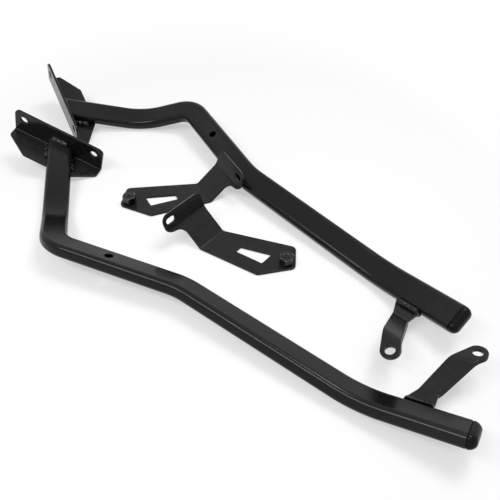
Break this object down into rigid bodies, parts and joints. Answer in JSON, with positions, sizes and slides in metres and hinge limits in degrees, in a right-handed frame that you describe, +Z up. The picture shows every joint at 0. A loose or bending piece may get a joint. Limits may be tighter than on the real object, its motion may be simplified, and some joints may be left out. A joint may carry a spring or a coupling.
{
  "type": "top case rack",
  "caption": "Motorcycle top case rack kit: mirrored bent rectangular-tube arms with tail plates, side lugs and end caps, and folded stay brackets with weld nuts, laid out flat.",
  "frame": {"origin": "middle of the laid-out kit on the floor that it lies on", "axes": "+X along the long legs of the arms towards the capped ends, +Z up from the floor"},
  "size_m": [0.6634, 0.294, 0.0706],
  "materials": {
    "arm_coat": "satin black powder coat",
    "stay_coat": "satin black powder coat",
    "weld_coat": "black powder coat over a rippled bead",
    "nut_steel": "black coat, worn bright on the bevel",
    "cap_plastic": "smooth moulded black plastic"
  },
  "bodies": {
    "root": {"left_arm_tube": "arm_coat", "left_end_cap": "cap_plastic", "left_lug_under_weld": "weld_coat", "left_lug_weld": "weld_coat", "left_plate_inner_weld": "weld_coat", "left_plate_outer_weld": "weld_coat", "left_plate_top_weld": "weld_coat", "left_side_lug": "arm_coat", "left_stay_bracket": "stay_coat", "left_tail_plate": "arm_coat", "left_weld_nut": "nut_steel", "right_arm_tube": "arm_coat", "right_end_cap": "cap_plastic", "right_lug_under_weld": "weld_coat", "right_lug_weld": "weld_coat", "right_plate_inner_weld": "weld_coat", "right_plate_outer_weld": "weld_coat", "right_plate_top_weld": "weld_coat", "right_side_lug": "arm_coat", "right_stay_bracket": "stay_coat", "right_tail_plate": "arm_coat", "right_weld_nut": "nut_steel"}
  },
  "joints": []
}
